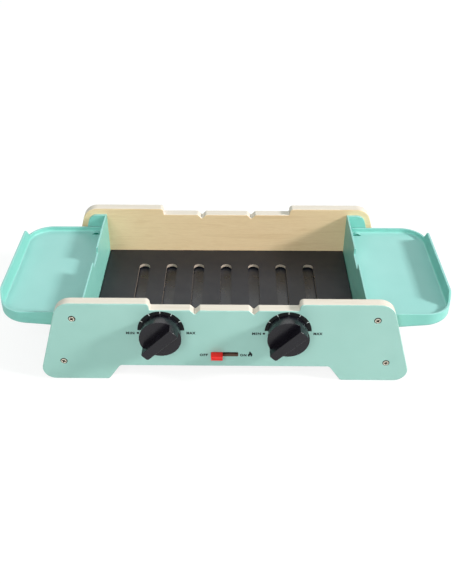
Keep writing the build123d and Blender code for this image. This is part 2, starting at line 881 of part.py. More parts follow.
def sound_box():
    """Open topped box under the ember tray, with ears, battery bay and speaker grille."""
    shell = block(-box_half, box_half, box_front, box_back, box_bottom, ember_base)
    shell -= block(-box_half + box_wall, box_half - box_wall, box_front + box_wall,
                   box_back - box_wall, box_inside, ember_base + 1)
    pieces = [shell]
    for side in (-1, 1):
        x_near, x_far = sorted((side * (box_half - 1), side * (box_half + ear_reach)))
        for depth in hanger_depths:
            ear = block(x_near, x_far, depth - ear_width / 2, depth + ear_width / 2,
                        ear_top - ear_thick, ear_top)
            pieces.append(ear)
    pieces.append(block(bay_left, bay_left + box_wall, box_front + 1, box_back - 1,
                        box_inside - 1, ember_base - 2))
    pieces.append(block(bay_left, box_half - 1, cells_back + 1.0, cells_back + 1.0 + bay_end_rib,
                        box_inside - 1, ember_base - 2))
    pieces.append(rod_z(bay_x, door_screw_depth, post_round, box_inside - 1, ember_base - 4))
    for x, y in circuit_posts():
        pieces.append(rod_z(x, y, post_round, box_inside - 1, circuit_z))
    cup = rod_z(speaker_x, speaker_depth, speaker_round + speaker_cup, box_inside - 1, box_inside + 3)
    cup -= rod_z(speaker_x, speaker_depth, speaker_round + 0.3, box_inside - 1, box_inside + 4)
    pieces.append(cup)
    box = fuse(pieces)
    x_low, x_high, y_low, y_high = door_opening(0)
    box -= block(x_low, x_high, y_low, y_high, box_bottom - 1, box_inside + 1)
    box -= door_block(door_gap, box_bottom - 1, box_bottom + door_thick)
    for x, y in circuit_posts():
        box -= rod_z(x, y, small_screw_shank + fit_gap, circuit_z - 7, circuit_z + 1)
    for side in (-1, 1):
        for depth in hanger_depths:
            box -= rod_z(side * hanger_x, depth, small_screw_shank + fit_gap,
                         ear_top - pilot_depth, ear_top + 1)
    box -= rod_z(bay_x, door_screw_depth, small_screw_shank + fit_gap, box_bottom - 1, box_inside + 6)
    box -= rod_z(speaker_x, speaker_depth, grille_hole, box_bottom - 1, box_inside + 1)
    for ring in range(1, grille_ring_count + 1):
        radius = ring * grille_pitch
        count = ring * grille_more_holes
        for k in range(count):
            turn = 2 * math.pi * k / count
            box -= rod_z(speaker_x + radius * math.cos(turn), speaker_depth + radius * math.sin(turn),
                         grille_hole, box_bottom - 1, box_inside + 1)
    return box


def door_block(grow, z_low, z_high):
    """Plan of the battery door, with the tongue that its screw goes through."""
    x_low, x_high, y_low, _ = door_opening(door_ledge)
    half = door_tongue_half + grow
    y_high = min(door_screw_depth + door_tongue_reach, box_back - 0.8) + grow
    panel = block(x_low - grow, x_high + grow, y_low - grow, cells_back + door_lip + grow, z_low, z_high)
    return panel + block(bay_x - half, bay_x + half, cells_back, y_high, z_low, z_high)


def battery_door():
    """Screwed door under the cells, with cradle ribs between them."""
    door = door_block(0, box_bottom, box_bottom + door_thick - 0.05)
    _, _, y_low, y_high = door_opening(0)
    cells = cell_places()
    for a, b in zip(cells, cells[1:]):
        middle = (a + b) / 2
        door += block(middle - door_rib_half, middle + door_rib_half, y_low + 3, y_high - 3,
                      box_bottom + 0.5, box_inside + door_rib_tall)
    return door - rod_z(bay_x, door_screw_depth, small_screw_shank + fit_gap, box_bottom - 1,
                        box_inside)


def battery_door_screw():
    return pan_screw_z(bay_x, door_screw_depth, box_bottom, door_screw_length, -1)


def batteries():
    """Three cells, each with its raised positive end."""
    cells = []
    for x in cell_places():
        shoulder = cells_back - cell_button_tall
        can = rod_y(x, cells_z, cell_round, cells_front, shoulder)
        cells.append(can + rod_y(x, cells_z, cell_button_round, shoulder - 0.2, cells_back))
    return cells


def battery_springs():
    """Wire springs that press on the flat ends of the cells."""
    springs = []
    for x in cell_places():
        start = bay_front + contact_thick + spring_wire + 0.1
        end = cells_front - spring_wire - 0.05
        path = Helix(pitch=(end - start) / spring_turns, height=end - start, radius=spring_round)
        section = Plane(origin=path @ 0, z_dir=path % 0) * Circle(spring_wire)
        coil = sweep(section, path=path, is_frenet=True)
        springs.append(Pos(x, start, cells_z) * Rot(-90, 0, 0) * coil)
    return springs


def battery_contacts():
    """Metal plates behind the springs and in front of the raised ends."""
    plates = []
    for x in cell_places():
        for y_low in (bay_front, cells_back + 0.3):
            plates.append(block(x - contact_half, x + contact_half, y_low, y_low + contact_thick,
                                cells_z - contact_half, cells_z + contact_half))
    return plates


def circuit_board():
    """Board with its sound chip, capacitor and resistors soldered on."""
    xs = [x for x, _ in circuit_posts()]
    ys = [y for _, y in circuit_posts()]
    top = circuit_z + circuit_thick
    board = block(min(xs) - circuit_margin, max(xs) + circuit_margin, min(ys) - circuit_margin,
                  max(ys) + circuit_margin, circuit_z, top)
    chip_x, chip_y = speaker_x + chip_right, min(ys) + chip_from_post
    chip = block(chip_x, chip_x + chip_size, chip_y, chip_y + chip_size, top - 0.2, top + chip_tall)
    can = rod_z(speaker_x - can_left, min(ys) + can_from_post, can_round, top - 0.2, top + can_tall)
    board = board + chip + can
    for k in range(resistor_count):
        x, y = speaker_x - resistor_left + k * resistor_pitch, max(ys) - resistor_from_post
        board += block(x, x + resistor_long, y, y + resistor_wide, top - 0.2, top + resistor_tall)
    for x, y in circuit_posts():
        board -= rod_z(x, y, small_screw_shank + fit_gap, circuit_z - 1, top + 1)
    return board


def circuit_board_screws():
    seat = circuit_z + circuit_thick
    return [pan_screw_z(x, y, seat, circuit_screw_length, 1) for x, y in circuit_posts()]


def speaker():
    """Small speaker, cone down over the grille, with its magnet on top."""
    z = box_inside
    return revolved_z([(0, z + 1.6), (4, z + 1.2), (speaker_round - 2.5, z + 0.4),
                       (speaker_round - 2.5, z), (speaker_round, z), (speaker_round, z + 1.2),
                       (speaker_round - 2, z + 1.6), (9.5, z + 3.2), (9.5, z + speaker_tall),
                       (0, z + speaker_tall)], speaker_x, speaker_depth)


def ember_lights():
    """Three red lamps on the board, just under the ember tray."""
    board_top = circuit_z + circuit_thick
    top = board_top + lamp_base_tall
    lamps = []
    for k in range(lamp_count):
        x = speaker_x + (k - (lamp_count - 1) / 2) * lamp_pitch
        base = block(x - lamp_half_wide, x + lamp_half_wide, speaker_depth - lamp_half_deep,
                     speaker_depth + lamp_half_deep, board_top, top)
        middle = top - 0.1
        dome = Pos(x, speaker_depth, middle) * Sphere(lamp_round)
        dome -= block(x - 2, x + 2, speaker_depth - 2, speaker_depth + 2, middle - 3, middle)
        lamps.append(base + dome)
    return lamps


def sound_box_screws():
    return [pan_screw_z(side * hanger_x, depth, ear_top - ear_thick, case_screw_length, -1)
            for side in (-1, 1) for depth in hanger_depths]


def write(name, pieces):
    """Moves a node's solids to the grill's own frame and writes them."""
    solids = []
    for piece in (pieces if isinstance(pieces, list) else [pieces]):
        solids.extend((Pos(0, middle_shift, 0) * piece).solids())
    shape = solids[0] if len(solids) == 1 else Compound(children=solids)
    export_step(shape, f"parts/{name}.step")


def main():
    os.makedirs("parts", exist_ok=True)
    write("front_panel", front_panel())
    write("rear_panel", rear_panel())
    write("front_panel_screws", panel_screws())
    write("rear_panel_screws", rear_screws())
    right_wall, left_wall = both_sides(right_end_wall())
    write("right_end_wall", right_wall)
    write("left_end_wall", left_wall)
    write("grill_plate", grill_plate())
    write("ember_tray", ember_tray())
    write("ember_tray_screws", ember_tray_screws())
    tray_right, tray_left = both_sides(right_tray())
    write("right_tray", tray_right)
    write("left_tray", tray_left)
    for name, side in (("left", -1), ("right", 1)):
        write(f"{name}_knob", at_knob(knob_body(), side))
        write(f"{name}_knob_bush", at_knob(knob_bush(), side))
        write(f"{name}_knob_washer", at_knob(knob_washer(), side))
        write(f"{name}_knob_screw", at_knob(knob_screw(), side))
    write("switch_slider", switch_slider())
    write("switch_lever", switch_lever())
    write("slide_switch", slide_switch())
    write("switch_board", switch_board())
    write("switch_board_screws", switch_board_screws())
    write("sound_box", sound_box())
    write("sound_box_screws", sound_box_screws())
    write("battery_door", battery_door())
    write("battery_door_screw", battery_door_screw())
    write("batteries", batteries())
    write("battery_springs", battery_springs())
    write("battery_contacts", battery_contacts())
    write("circuit_board", circuit_board())
    write("circuit_board_screws", circuit_board_screws())
    write("speaker", speaker())
    write("ember_lights", ember_lights())


main()
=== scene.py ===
# %% [markdown]
# # A toy barbecue grill in wood and plastic
# The solid pieces come from the imported CAD model, already in place and in metres. This file dresses them: it adds
# the camera, the light, every finish, and the small things that are too fine for the solids, such as print and
# screw heads.

import math

import bmesh
import bpy
from mathutils import Matrix, Vector


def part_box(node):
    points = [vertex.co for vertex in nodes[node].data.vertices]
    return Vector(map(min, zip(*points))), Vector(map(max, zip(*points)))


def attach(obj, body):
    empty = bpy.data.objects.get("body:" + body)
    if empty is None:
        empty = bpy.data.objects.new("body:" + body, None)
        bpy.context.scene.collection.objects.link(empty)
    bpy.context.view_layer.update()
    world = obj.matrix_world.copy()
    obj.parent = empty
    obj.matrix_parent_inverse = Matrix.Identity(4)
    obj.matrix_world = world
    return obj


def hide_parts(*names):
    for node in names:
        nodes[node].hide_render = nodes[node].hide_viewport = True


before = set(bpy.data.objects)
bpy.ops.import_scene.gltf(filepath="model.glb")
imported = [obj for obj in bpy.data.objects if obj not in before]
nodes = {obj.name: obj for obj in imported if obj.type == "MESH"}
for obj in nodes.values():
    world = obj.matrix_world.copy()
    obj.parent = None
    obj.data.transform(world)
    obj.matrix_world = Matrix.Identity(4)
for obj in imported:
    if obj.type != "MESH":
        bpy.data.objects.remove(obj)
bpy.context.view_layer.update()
MM = 0.001
FRAME_BODY = "frame_body"

# %% [markdown]
# ## The camera
# The photograph looks down on the front panel from arm's length. A camera can be placed by eye, or worked out from
# straight edges whose real lengths are known. The second way was used, so the numbers below are the real place and
# the real lens. The picture is taller than wide, so the sensor's width lies along the tall side.

# %% Place the camera
PICTURE = (452, 584)
FOCAL_PIXELS = 778.69
SENSOR = 36.0
CAMERA_PLACE = Vector((0.00847, -0.64089, 0.50144))
YAW = math.radians(-0.716)
PITCH = math.radians(-35.385)
ROLL = math.radians(-0.074)

forward = Vector((math.sin(YAW) * math.cos(PITCH), math.cos(YAW) * math.cos(PITCH), math.sin(PITCH)))
level = Vector((math.cos(YAW), -math.sin(YAW), 0.0))
upright = level.cross(forward)
right = math.cos(ROLL) * level + math.sin(ROLL) * upright
up = -math.sin(ROLL) * level + math.cos(ROLL) * upright

lens = bpy.data.cameras.new("camera")
lens.sensor_width = SENSOR
lens.lens = FOCAL_PIXELS / PICTURE[1] * SENSOR
lens.clip_start = 0.01
camera = bpy.data.objects.new("camera", lens)
bpy.context.scene.collection.objects.link(camera)
turned = Matrix((right, up, -forward)).transposed().to_4x4()
camera.matrix_world = Matrix.Translation(CAMERA_PLACE) @ turned
bpy.context.scene.camera = camera
print("lens", round(lens.lens, 2), "mm")

# %% [markdown]
# ## Light and ground
# The shadow of the left wall on its tray, with the finger notch in it, tells where the main light stood: to the
# right, a little in front, and rather low, with soft edges. One square lamp does that. A much larger and weaker one
# in front lights the faces turned to the camera without a shadow of its own, and a faint one behind puts the soft
# sheen on the near half of the black plate. The surround does the rest: it is brighter to the right and overhead
# and darker to the left, as in a studio with a dark flag on one side. The main lamp is a touch warm and the rest a
# touch cool, so shaded teal keeps its colour. The ground is white paper. Seen by the camera it is mostly lit by
# itself, so it stays white and still keeps a light shadow.

# %% Three lamps
WARM = (1.0, 0.965, 0.95)
COOL = (0.95, 1.0, 0.98)


def square_lamp(name, towards, distance, size, power, tint):
    """Soft lamp that looks at the middle of the grill."""
    lamp = bpy.data.lights.new(name, "AREA")
    lamp.size = size
    lamp.energy = power
    lamp.color = tint
    towards = Vector(towards).normalized()
    holder = bpy.data.objects.new(name, lamp)
    bpy.context.scene.collection.objects.link(holder)
    holder.location = towards * distance
    holder.rotation_euler = towards.to_track_quat("Z", "Y").to_euler()


square_lamp("key_lamp", (1.75, -0.45, 1.0), distance=4.0, size=0.62, power=161.0, tint=WARM)
square_lamp("front_lamp", (-0.25, -1.0, 0.8), distance=3.5, size=1.8, power=52.5, tint=COOL)
square_lamp("back_lamp", (-0.1, 1.0, 0.85), distance=3.5, size=2.2, power=12.0, tint=COOL)
print("lamps:", [lamp.name for lamp in bpy.data.lights])


# %% Surround
SURROUND_BRIGHT = 0.51
SURROUND_DARK = 0.22
SURROUND_TINT = (0.85, 1.0, 0.95, 1.0)
BRIGHT_SIDE = Vector((0.75, -0.35, 0.55)).normalized()


def seen_directly(tree):
    """1 for rays from the camera, from a reflection or through glass, and 0 for light that is only felt."""
    ray = tree.nodes.new("ShaderNodeLightPath")
    total = ray.outputs["Is Camera Ray"]
    for name in ("Is Glossy Ray", "Is Transmission Ray"):
        either = tree.nodes.new("ShaderNodeMath")
        either.operation = "MAXIMUM"
        tree.links.new(total, either.inputs[0])
        tree.links.new(ray.outputs[name], either.inputs[1])
        total = either.outputs[0]
    return total


world = bpy.data.worlds.new("surround")
world.use_nodes = True
bpy.context.scene.world = world
sky = world.node_tree
sky.nodes.clear()
sky_out = sky.nodes.new("ShaderNodeOutputWorld")
seen = sky.nodes.new("ShaderNodeBackground")
seen.inputs["Color"].default_value = (1.0, 1.0, 1.0, 1.0)
seen.inputs["Strength"].default_value = 1.0
felt = sky.nodes.new("ShaderNodeBackground")
felt.inputs["Color"].default_value = SURROUND_TINT
way = sky.nodes.new("ShaderNodeTexCoord")
toward = sky.nodes.new("ShaderNodeVectorMath")
toward.operation = "DOT_PRODUCT"
toward.inputs[1].default_value = BRIGHT_SIDE
spread = sky.nodes.new("ShaderNodeMapRange")
spread.inputs["From Min"].default_value = -1.0
spread.inputs["To Min"].default_value = SURROUND_DARK
spread.inputs["To Max"].default_value = SURROUND_BRIGHT
sky.links.new(way.outputs["Generated"], toward.inputs[0])
sky.links.new(toward.outputs["Value"], spread.inputs["Value"])
sky.links.new(spread.outputs["Result"], felt.inputs["Strength"])
choose = sky.nodes.new("ShaderNodeMixShader")
sky.links.new(seen_directly(sky), choose.inputs[0])
sky.links.new(felt.outputs[0], choose.inputs[1])
sky.links.new(seen.outputs[0], choose.inputs[2])
sky.links.new(choose.outputs[0], sky_out.inputs["Surface"])
print("surround from", SURROUND_DARK, "to", SURROUND_BRIGHT)

# %% Paper ground
GROUND_REACH = 6.0
GROUND_DROP = 0.0002
SHADOW_SHARE = 0.35
PAPER_GREY = 0.55
PAPER_GLOW = 1.3

ground_mesh = bpy.data.meshes.new("paper_ground")
corners = [(-GROUND_REACH, -GROUND_REACH, 0), (GROUND_REACH, -GROUND_REACH, 0),
           (GROUND_REACH, GROUND_REACH, 0), (-GROUND_REACH, GROUND_REACH, 0)]
ground_mesh.from_pydata(corners, [], [(0, 1, 2, 3)])
ground = bpy.data.objects.new("paper_ground", ground_mesh)
bpy.context.scene.collection.objects.link(ground)
ground.location.z = -GROUND_DROP

paper = bpy.data.materials.new("white_paper")
paper.use_nodes = True
paper_tree = paper.node_tree
paper_tree.nodes.clear()
paper_out = paper_tree.nodes.new("ShaderNodeOutputMaterial")
sheet = paper_tree.nodes.new("ShaderNodeBsdfDiffuse")
sheet.inputs["Color"].default_value = (PAPER_GREY, PAPER_GREY, PAPER_GREY, 1.0)
glow = paper_tree.nodes.new("ShaderNodeEmission")
glow.inputs["Strength"].default_value = PAPER_GLOW
share = paper_tree.nodes.new("ShaderNodeMixShader")
weight = paper_tree.nodes.new("ShaderNodeMath")
weight.operation = "MULTIPLY"
weight.inputs[1].default_value = 1.0 - SHADOW_SHARE
paper_tree.links.new(seen_directly(paper_tree), weight.inputs[0])
paper_tree.links.new(weight.outputs[0], share.inputs[0])
paper_tree.links.new(sheet.outputs[0], share.inputs[1])
paper_tree.links.new(glow.outputs[0], share.inputs[2])
paper_tree.links.new(share.outputs[0], paper_out.inputs["Surface"])
ground_mesh.materials.append(paper)
bpy.context.scene.view_settings.view_transform = "Standard"
print("ground is", 2 * GROUND_REACH, "m wide")

# %% [markdown]
# ## Helpers for finishes
# A finish is a small tree of nodes that ends in one shader. Patterns read the piece's own coordinates, in
# millimetres, so a scale can be thought of in real sizes, and the pattern stays on the piece when it moves. Every
# finish could be written out node by node, but the same few steps come back each time. The helpers below hold them:
# some start a finish and read where a point lies, some make patterns, some do arithmetic, and the last ones raise
# the surface and give the finish to a piece.

# %% Start a finish
def millimetre_place(tree):
    """The piece's own coordinates, in millimetres."""
    place = tree.nodes.new("ShaderNodeTexCoord")
    scale = tree.nodes.new("ShaderNodeMapping")
    scale.inputs["Scale"].default_value = (1 / MM, 1 / MM, 1 / MM)
    tree.links.new(place.outputs["Object"], scale.inputs["Vector"])
    return scale.outputs["Vector"]


def start_finish(name, roughness=0.5, metallic=0.0):
    """New material with one shader, and the piece's own coordinates in millimetres."""
    finish = bpy.data.materials.new(name)
    finish.use_nodes = True
    tree = finish.node_tree
    tree.nodes.clear()
    out = tree.nodes.new("ShaderNodeOutputMaterial")
    shader = tree.nodes.new("ShaderNodeBsdfPrincipled")
    shader.inputs["Roughness"].default_value = roughness
    shader.inputs["Metallic"].default_value = metallic
    tree.links.new(shader.outputs[0], out.inputs["Surface"])
    return finish, tree, shader, millimetre_place(tree)


def split(tree, vector):
    """The X, Y and Z parts of a place or a direction."""
    parts = tree.nodes.new("ShaderNodeSeparateXYZ")
    tree.links.new(vector, parts.inputs[0])
    return parts.outputs


def facing(tree):
    """Direction that the surface turns to, as X, Y and Z parts."""
    return split(tree, tree.nodes.new("ShaderNodeTexCoord").outputs["Normal"])


print("finishes work in pieces of", MM, "m")


# %% Patterns and colours
def stretched(tree, millimetres, x=1.0, y=1.0, z=1.0):
    """Coordinates squeezed or stretched along an axis, for grain and brushed lines."""
    mapping = tree.nodes.new("ShaderNodeMapping")
    mapping.inputs["Scale"].default_value = (x, y, z)
    tree.links.new(millimetres, mapping.inputs["Vector"])
    return mapping.outputs["Vector"]


def noise(tree, place, scale, detail=4.0, roughness=0.55, distortion=0.0):
    """Smooth random value from 0 to 1, whose patches are about one over the scale in size."""
    cloud = tree.nodes.new("ShaderNodeTexNoise")
    cloud.inputs["Scale"].default_value = scale
    cloud.inputs["Detail"].default_value = detail
    cloud.inputs["Roughness"].default_value = roughness
    cloud.inputs["Distortion"].default_value = distortion
    tree.links.new(place, cloud.inputs["Vector"])
    return cloud.outputs[0]


def ramp(tree, value, *stops):
    """Colour that follows a value, from (position, (red, green, blue)) stops."""
    band = tree.nodes.new("ShaderNodeValToRGB")
    while len(band.color_ramp.elements) < len(stops):
        band.color_ramp.elements.new(0.5)
    for element, (position, colour) in zip(band.color_ramp.elements, stops):
        element.position = position
        element.color = (*colour, 1.0)
    tree.links.new(value, band.inputs[0])
    return band.outputs[0]


print("pattern helpers ready")


# %% Arithmetic and blends
def between(tree, value, low, high, to_low=0.0, to_high=1.0):
    """The value moved from one range to another and kept inside it."""
    remap = tree.nodes.new("ShaderNodeMapRange")
    remap.inputs["From Min"].default_value = low
    remap.inputs["From Max"].default_value = high
    remap.inputs["To Min"].default_value = to_low
    remap.inputs["To Max"].default_value = to_high
    tree.links.new(value, remap.inputs["Value"])
    return remap.outputs[0]


def maths(tree, operation, first, second=0.0):
    """One step of arithmetic on two values, each a socket or a number."""
    step = tree.nodes.new("ShaderNodeMath")
    step.operation = operation
    for socket, value in zip(step.inputs, (first, second)):
        if isinstance(value, (int, float)):
            socket.default_value = value
        else:
            tree.links.new(value, socket)
    return step.outputs[0]


def off_plane(tree, value, plane=0.0):
    """Distance of a value from a plane, on either side."""
    return maths(tree, "ABSOLUTE", maths(tree, "SUBTRACT", value, plane))


def stands_upright(tree):
    """1 on walls and 0 on what faces up or down."""
    return between(tree, off_plane(tree, facing(tree)["Z"]), 0.35, 0.5, 1.0, 0.0)


def mixed(tree, share_of_second, first, second):
    """Blend of two colours, each a socket or a plain colour."""
    mix = tree.nodes.new("ShaderNodeMix")
    mix.data_type = "RGBA"
    tree.links.new(share_of_second, mix.inputs[0])
    for socket, value in ((mix.inputs[6], first), (mix.inputs[7], second)):
        if isinstance(value, tuple):
            socket.default_value = (*value, 1.0)
        else:
            tree.links.new(value, socket)
    return mix.outputs[2]


print("arithmetic helpers ready")


# %% Relief and dressing
def raised(tree, shader, height, depth_mm, strength=1.0):
    """Fine relief on the surface, from a height value and the relief's real depth."""
    bump = tree.nodes.new("ShaderNodeBump")
    bump.inputs["Strength"].default_value = strength
    bump.inputs["Distance"].default_value = depth_mm * MM
    tree.links.new(height, bump.inputs["Height"])
    tree.links.new(bump.outputs[0], shader.inputs["Normal"])


def dress(finish, *names):
    """Gives CAD nodes one finish."""
    for name in names:
        slots = nodes[name].data.materials
        slots.clear()
        slots.append(finish)


print("nodes that can be dressed:", len(nodes))

# %% [markdown]
# ## Bare wood
# The panels are cut from pale close-grained board. Its broad faces show long faint streaks, and the cut and sanded
# edges are paler. Image textures could give that, but a few stretched noises do it at any zoom: one slow streak for
# the growth bands, one fine one for the fibres, and short dark flecks for the pores.

# %% Wood colour
FACE_WOOD = ((0.79, 0.55, 0.31), (0.91, 0.68, 0.425), (0.86, 0.62, 0.37))
EDGE_WOOD = ((0.66, 0.575, 0.49), (0.75, 0.675, 0.60), (0.705, 0.63, 0.55))
GRAIN_STRETCH = 0.07


def wood_streaks(tree, millimetres):
    """Growth bands, fibres and pores that run along the panel's length."""
    along = stretched(tree, millimetres, x=GRAIN_STRETCH)
    bands = noise(tree, along, 0.16, detail=3.0, distortion=1.2)
    fibres = noise(tree, along, 1.9, detail=6.0, roughness=0.65)
    pores = noise(tree, stretched(tree, millimetres, x=0.16), 2.4, detail=2.0)
    return bands, fibres, pores


def wood_colours(tree, streaks, tones):
    """Dark, light and middle tone laid over each other by the streaks."""
    bands, fibres, pores = streaks
    base = ramp(tree, bands, (0.32, tones[0]), (0.5, tones[1]), (0.68, tones[2]))
    fine = ramp(tree, fibres, (0.30, tones[0]), (0.62, tones[1]))
    body = mixed(tree, between(tree, bands, 0.2, 0.8, 0.35, 0.6), base, fine)
    dark = tuple(channel * 0.72 for channel in tones[0])
    return mixed(tree, between(tree, pores, 0.70, 0.82, 0.0, 0.55), body, dark)


print("wood tones:", len(FACE_WOOD), "on faces and", len(EDGE_WOOD), "on edges")

# %% [markdown]
# ## Painted panels
# Each panel is sprayed mint on its outer face only. The paint stops where the rounded edge turns, and the wood
# beyond it is left bare. Splitting the mesh would do that, but the height of the paint line is easier to follow in
# the finish itself: everything less than about half a millimetre behind the outer face is paint, with a line that
# wavers a little, and the rest is wood. Inside the switch's slot hardly any light reaches the cut wood, so its walls
# get a painted shade, a dark brown in place of the wood.

# %% Painted shade on the walls of the switch's slot
SLOT_PAINTED_SHADE = (0.24, 0.15, 0.11)
SLOT_HALF_LONG = 14.0
SLOT_HALF_TALL = 3.2
SOFT_EDGE = 0.2


def inside_slot(tree, where, depth):
    """1 on the walls of the slot, behind the painted face, where the painted shade goes."""
    low, high = (corner.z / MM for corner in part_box("switch_slider"))
    off_middle = off_plane(tree, where["X"])
    off_height = off_plane(tree, where["Z"], (low + high) / 2)
    along = between(tree, off_middle, SLOT_HALF_LONG, SLOT_HALF_LONG + SOFT_EDGE, 1.0, 0.0)
    tall = between(tree, off_height, SLOT_HALF_TALL, SLOT_HALF_TALL + SOFT_EDGE, 1.0, 0.0)
    behind_paint = between(tree, depth, 0.08, 0.2)
    return maths(tree, "MULTIPLY", maths(tree, "MULTIPLY", along, tall), behind_paint)


print("slot", 2 * SLOT_HALF_LONG, "by", 2 * SLOT_HALF_TALL, "mm")


# %% Mint paint over wood
MINT = ((0.330, 0.570, 0.515), (0.360, 0.600, 0.545))
PAINT_LINE = 0.55
PAINT_WAVER = 0.25
PAINT_SOFT = 0.06


def panel_wood(tree, streaks):
    """Golden wood on the broad faces and paler wood on the cut edges."""
    edge = wood_colours(tree, streaks, EDGE_WOOD)
    face = wood_colours(tree, streaks, FACE_WOOD)
    broad = between(tree, off_plane(tree, facing(tree)["Y"]), 0.6, 0.8)
    return mixed(tree, broad, edge, face)


def painted_panel(name, outer_face_mm, inward):
    """Wood finish whose outer face is painted; inward is 1 or -1 along the depth."""
    finish, tree, shader, millimetres = start_finish(name, roughness=0.42)
    where = split(tree, millimetres)
    streaks = wood_streaks(tree, millimetres)
    depth = maths(tree, "MULTIPLY", maths(tree, "SUBTRACT", where["Y"], outer_face_mm), inward)
    waver = between(tree, noise(tree, millimetres, 0.35), 0.3, 0.7, -PAINT_WAVER / 2, PAINT_WAVER / 2)
    in_front = between(tree, maths(tree, "ADD", depth, waver),
                       PAINT_LINE - PAINT_SOFT, PAINT_LINE + PAINT_SOFT, 1.0, 0.0)
    # Painted shade: the walls inside the switch's slot are darkened, because little light reaches them.
    slot_shade = inside_slot(tree, where, depth)
    painted = maths(tree, "MULTIPLY", in_front, maths(tree, "SUBTRACT", 1.0, slot_shade))
    wood = mixed(tree, slot_shade, panel_wood(tree, streaks), SLOT_PAINTED_SHADE)
    mint = ramp(tree, noise(tree, millimetres, 0.02, detail=2.0), (0.3, MINT[0]), (0.7, MINT[1]))
    tree.links.new(mixed(tree, painted, wood, mint), shader.inputs["Base Color"])
    tree.links.new(between(tree, painted, 0.0, 1.0, 0.62, 0.38), shader.inputs["Roughness"])
    relief = maths(tree, "MULTIPLY", streaks[1], between(tree, painted, 0.0, 1.0, 1.0, 0.35))
    raised(tree, shader, relief, 0.05, strength=0.5)
    return finish


front_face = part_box("front_panel")[0].y / MM
rear_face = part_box("rear_panel")[1].y / MM
dress(painted_panel("front_paint_and_wood", front_face, 1.0), "front_panel")
dress(painted_panel("rear_paint_and_wood", rear_face, -1.0), "rear_panel")
print("panel faces at", round(front_face, 2), "and", round(rear_face, 2), "mm")

# %% [markdown]
# ## Teal moulded plastic
# End walls and trays are injection moulded in one teal plastic, with a soft sheen and a very fine spark-eroded
# texture that breaks up reflections. A plain colour would look like clay, so a slow noise moves the roughness, a fine
# one raises the texture, and the finish reads which way a surface turns to choose its tone: what lies flat, such as
# the tray floors, gets a paler teal as a painted sheen of the light falling on it. Beside each pivot a narrow slit
# frees the tray's arm. Hardly any light gets into it, so it shows as a dark line, and its walls get a painted shade.

# %% Moulded plastic
def moulded_plastic(name, tones, roughness, texture_mm=0.012, texture_scale=2.2, shine=0.5):
    """Even moulded plastic with a fine eroded texture."""
    finish, tree, shader, millimetres = start_finish(name, roughness)
    shader.inputs["Specular IOR Level"].default_value = shine
    flow = noise(tree, millimetres, 0.03, detail=2.0)
    tree.links.new(ramp(tree, flow, (0.3, tones[0]), (0.7, tones[1])), shader.inputs["Base Color"])
    handling = noise(tree, millimetres, 0.12, detail=3.0)
    tree.links.new(between(tree, handling, 0.3, 0.7, roughness - 0.05, roughness + 0.06),
                   shader.inputs["Roughness"])
    raised(tree, shader, noise(tree, millimetres, texture_scale, detail=3.0), texture_mm, strength=0.6)
    return finish


def base_colour(finish):
    """Socket of a finish's colour, and what feeds it so far."""
    shader = next(node for node in finish.node_tree.nodes if node.type == "BSDF_PRINCIPLED")
    socket = shader.inputs["Base Color"]
    return socket, socket.links[0].from_socket


print("moulded plastic ready")


# %% Teal end walls
TEAL = ((0.222, 0.560, 0.497), (0.247, 0.585, 0.522))
PAINTED_SHEEN_TEAL = ((0.288, 0.570, 0.542), (0.313, 0.595, 0.567))


def teal_moulding(name):
    """Teal plastic with a painted sheen, a paler teal, where it lies flat, as on the tray floors."""
    finish = moulded_plastic(name, TEAL, 0.42, shine=0.3)
    tree = finish.node_tree
    colour, upright_tone = base_colour(finish)
    flow = noise(tree, millimetre_place(tree), 0.03, detail=2.0)
    pale = ramp(tree, flow, (0.3, PAINTED_SHEEN_TEAL[0]), (0.7, PAINTED_SHEEN_TEAL[1]))
    # Painted sheen: surfaces that face up get the paler teal that light falling on them gives.
    lies_flat = between(tree, facing(tree)["Z"], 0.6, 0.95)
    tree.links.new(mixed(tree, lies_flat, upright_tone, pale), colour)
    return finish


dress(teal_moulding("teal_wall_plastic"), "left_end_wall", "right_end_wall")
wall_foot, wall_top = (corner.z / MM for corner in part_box("left_end_wall"))
print("end walls", round(wall_top - wall_foot, 1), "mm tall")


# %% Teal trays with painted shade in the slits
SLIT_PAINTED_SHADE = (0.012, 0.200, 0.145)
SLIT_FROM_PIN_END = 11.6
SLIT_REACH = 145.4


def teal_tray():
    """Teal plastic with painted shade, a deep teal, on the walls of the slits beside the pivots."""
    finish = teal_moulding("teal_tray_plastic")
    tree = finish.node_tree
    colour, tone = base_colour(finish)
    where = split(tree, millimetre_place(tree))
    low, high = (corner.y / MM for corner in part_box("left_tray"))
    off_middle = off_plane(tree, where["Y"], (low + high) / 2)
    off_slit = off_plane(tree, off_middle, (high - low) / 2 - SLIT_FROM_PIN_END)
    beside = between(tree, off_slit, 0.7, 0.8, 1.0, 0.0)
    inward = between(tree, off_plane(tree, where["X"]), SLIT_REACH, SLIT_REACH + SOFT_EDGE, 1.0, 0.0)
    slit_wall = maths(tree, "MULTIPLY", maths(tree, "MULTIPLY", beside, inward), stands_upright(tree))
    # Painted shade: the slit walls are darkened, because hardly any light gets into the slits.
    tree.links.new(mixed(tree, slit_wall, tone, SLIT_PAINTED_SHADE), colour)
    return finish


dress(teal_tray(), "left_tray", "right_tray")
print("slits", SLIT_FROM_PIN_END, "mm from the pivots' ends")

# %% [markdown]
# ## Grill plate
# The plate is a thin board, painted black before its slots are cut, so the slot walls show bare wood, made darker
# on their long sides than at their round ends. The finish reads which way each surface turns: what faces up or down
# is paint, what stands upright is cut wood.

# %% Black board with bare cuts
CUT_WOOD = ((0.32, 0.255, 0.205), (0.44, 0.37, 0.31), (0.38, 0.315, 0.26))
BLACK_PAINT = ((0.005, 0.006, 0.010), (0.010, 0.011, 0.017))
LONG_SIDE_DARK = (0.075, 0.060, 0.050)


